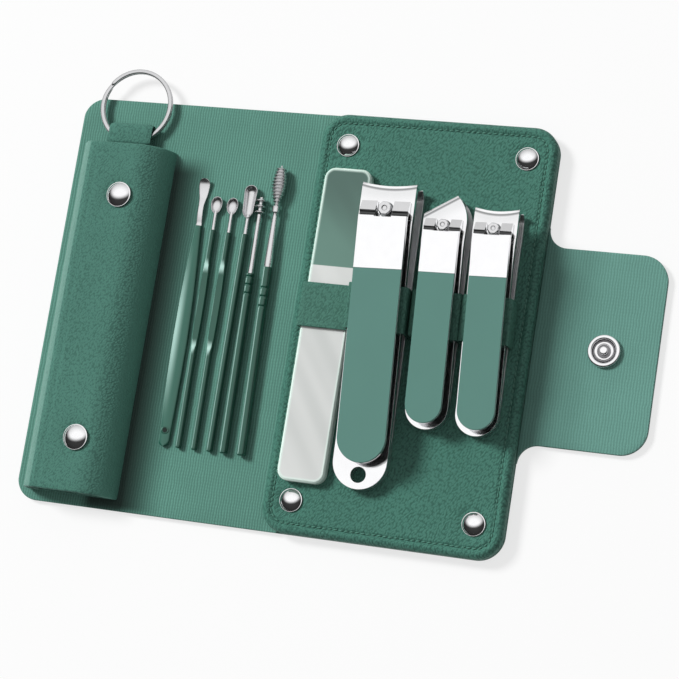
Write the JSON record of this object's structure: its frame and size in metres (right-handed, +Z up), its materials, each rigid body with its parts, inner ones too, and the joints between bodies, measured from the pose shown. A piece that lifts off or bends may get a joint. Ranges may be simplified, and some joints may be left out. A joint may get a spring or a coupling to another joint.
{
  "type": "manicure set case",
  "caption": "Folding leather manicure case lying open, with nail clippers and a glass file under the strap of its padded panel, ear picks on the lining, a sleeve, a key ring and a snap tab.",
  "frame": {"origin": "the middle of the underside of the padded panel leaf, on the table", "axes": "+X across the leaves from the sleeve to the snap tab, +Y up the case towards its key ring, +Z up out of the lining"},
  "size_m": [0.1709, 0.1238, 0.0171],
  "materials": {
    "cover_leather": "fine grain, deep green",
    "lining_leather": "smooth matt, mid green",
    "grained_leather": "grained, satin, green",
    "board": "plain",
    "foam": "soft padding",
    "chromed_fittings": "mirror",
    "polished_steel": "bright polished",
    "green_enamel": "satin, grey-green",
    "glass": "frosted, with bright clear edges"
  },
  "bodies": {
    "panel_leaf": {"panel_cover": "cover_leather", "panel_board": "board", "panel_foam": "foam", "panel_skin": "grained_leather", "panel_rivet_caps": "chromed_fittings", "panel_rivet_posts": "chromed_fittings", "strap": "grained_leather"},
    "spine": {"spine_cover": "cover_leather", "spine_lining": "lining_leather"},
    "sleeve_leaf": {"leaf_cover": "cover_leather", "leaf_lining": "lining_leather", "snap_socket": "chromed_fittings", "sleeve": "grained_leather", "sleeve_rivet_caps": "chromed_fittings", "sleeve_rivet_posts": "chromed_fittings", "ring_loop_root": "grained_leather"},
    "ring_flap": {"ring_loop": "grained_leather", "split_ring": "chromed_fittings"},
    "tab": {"tab_cover": "cover_leather", "tab_lining": "lining_leather", "snap_cap": "chromed_fittings", "snap_stud": "chromed_fittings"},
    "glass_file": {"glass_file": "glass"},
    "big_clipper_base": {"big_clipper_lower_jaw": "polished_steel", "big_clipper_post": "polished_steel", "big_clipper_tail_rivet": "polished_steel"},
    "big_clipper_top": {"big_clipper_upper_jaw": "polished_steel"},
    "big_clipper_handle": {"big_clipper_lever": "polished_steel", "big_clipper_lever_cover": "green_enamel"},
    "slant_clipper_base": {"slant_clipper_lower_jaw": "polished_steel", "slant_clipper_post": "polished_steel", "slant_clipper_tail_rivet": "polished_steel"},
    "slant_clipper_top": {"slant_clipper_upper_jaw": "polished_steel"},
    "slant_clipper_handle": {"slant_clipper_lever": "polished_steel", "slant_clipper_lever_cover": "green_enamel"},
    "small_clipper_base": {"small_clipper_lower_jaw": "polished_steel", "small_clipper_post": "polished_steel", "small_clipper_tail_rivet": "polished_steel"},
    "small_clipper_top": {"small_clipper_upper_jaw": "polished_steel"},
    "small_clipper_handle": {"small_clipper_lever": "polished_steel", "small_clipper_lever_cover": "green_enamel"},
    "spatula_pick": {"spatula_pick_head": "polished_steel", "spatula_pick_handle": "green_enamel"},
    "short_spoon_pick": {"short_spoon_pick_head": "polished_steel", "short_spoon_pick_handle": "green_enamel"},
    "round_spoon_pick": {"round_spoon_pick_head": "polished_steel", "round_spoon_pick_handle": "green_enamel"},
    "scoop_pick": {"scoop_pick_head": "polished_steel", "scoop_pick_handle": "green_enamel"},
    "ringed_pick": {"ringed_pick_head": "polished_steel", "ringed_pick_handle": "green_enamel"},
    "brush_pick": {"brush_pick_head": "polished_steel", "brush_pick_handle": "green_enamel"}
  },
  "joints": [
    {"name": "spine_fold", "type": "hinge", "parent": "panel_leaf", "child": "spine", "pos_m": [-0.0332, 0, 0.0015], "axis": [0, -1, 0], "range_deg": [-90, 0]},
    {"name": "leaf_fold", "type": "hinge", "parent": "spine", "child": "sleeve_leaf", "pos_m": [-0.0392, 0, 0.0015], "axis": [0, -1, 0], "range_deg": [-30, 0]},
    {"name": "ring_flap_swing", "type": "hinge", "parent": "sleeve_leaf", "child": "ring_flap", "pos_m": [-0.089, 0.0436, 0.0041], "axis": [1, 0, 0], "range_deg": [0, 75]},
    {"name": "tab_fold", "type": "hinge", "parent": "panel_leaf", "child": "tab", "pos_m": [0.0332, 0, 0.0015], "axis": [0, -1, 0], "range_deg": [0, 100]},
    {"name": "file_slide", "type": "slide", "parent": "panel_leaf", "child": "glass_file", "axis": [0, 1, 0], "range_m": [-0.0014, 0.0035]},
    {"name": "big_clipper_slide", "type": "slide", "parent": "panel_leaf", "child": "big_clipper_base", "axis": [-0.0226, 0.9969, 0.075], "range_m": [0, 0.055]},
    {"name": "big_clipper_squeeze", "type": "hinge", "parent": "big_clipper_base", "child": "big_clipper_top", "pos_m": [-0.0069, -0.0309, 0.00605], "axis": [-0.9997, -0.0227, 0], "range_deg": [0, 2.4], "stiffness_Nm_per_rad": 0.5},
    {"name": "big_clipper_lever_lift", "type": "hinge", "parent": "big_clipper_base", "child": "big_clipper_handle", "pos_m": [-0.00835, 0.03148, 0.0142], "axis": [-0.9992, -0.0401, 0], "range_deg": [0, 95]},
    {"name": "slant_clipper_slide", "type": "slide", "parent": "panel_leaf", "child": "slant_clipper_base", "axis": [-0.0226, 0.9969, 0.075], "range_m": [0, 0.04]},
    {"name": "slant_clipper_squeeze", "type": "hinge", "parent": "slant_clipper_base", "child": "slant_clipper_top", "pos_m": [0.00857, -0.0182, 0.00575], "axis": [-0.9997, -0.0227, 0], "range_deg": [0, 2.7], "stiffness_Nm_per_rad": 0.5},
    {"name": "slant_clipper_lever_lift", "type": "hinge", "parent": "slant_clipper_base", "child": "slant_clipper_handle", "pos_m": [0.0075, 0.02839, 0.0126], "axis": [-0.9996, -0.0297, 0], "range_deg": [0, 95]},
    {"name": "small_clipper_slide", "type": "slide", "parent": "panel_leaf", "child": "small_clipper_base", "axis": [-0.0226, 0.995, 0.0971], "range_m": [0, 0.04]},
    {"name": "small_clipper_squeeze", "type": "hinge", "parent": "small_clipper_base", "child": "small_clipper_top", "pos_m": [0.02212, -0.01845, 0.00575], "axis": [-0.9997, -0.0227, 0], "range_deg": [0, 2.7], "stiffness_Nm_per_rad": 0.5},
    {"name": "small_clipper_lever_lift", "type": "hinge", "parent": "small_clipper_base", "child": "small_clipper_handle", "pos_m": [0.02102, 0.02854, 0.0126], "axis": [-0.9992, -0.0401, 0], "range_deg": [0, 95]},
    {"name": "spatula_pick_lift", "type": "slide", "parent": "sleeve_leaf", "child": "spatula_pick", "axis": [0, 0, 1], "range_m": [0, 0.015]},
    {"name": "short_spoon_pick_lift", "type": "slide", "parent": "sleeve_leaf", "child": "short_spoon_pick", "axis": [0, 0, 1], "range_m": [0, 0.015]},
    {"name": "round_spoon_pick_lift", "type": "slide", "parent": "sleeve_leaf", "child": "round_spoon_pick", "axis": [0, 0, 1], "range_m": [0, 0.015]},
    {"name": "scoop_pick_lift", "type": "slide", "parent": "sleeve_leaf", "child": "scoop_pick", "axis": [0, 0, 1], "range_m": [0, 0.015]},
    {"name": "ringed_pick_lift", "type": "slide", "parent": "sleeve_leaf", "child": "ringed_pick", "axis": [0, 0, 1], "range_m": [0, 0.015]},
    {"name": "brush_pick_lift", "type": "slide", "parent": "sleeve_leaf", "child": "brush_pick", "axis": [0, 0, 1], "range_m": [0, 0.015]}
  ]
}
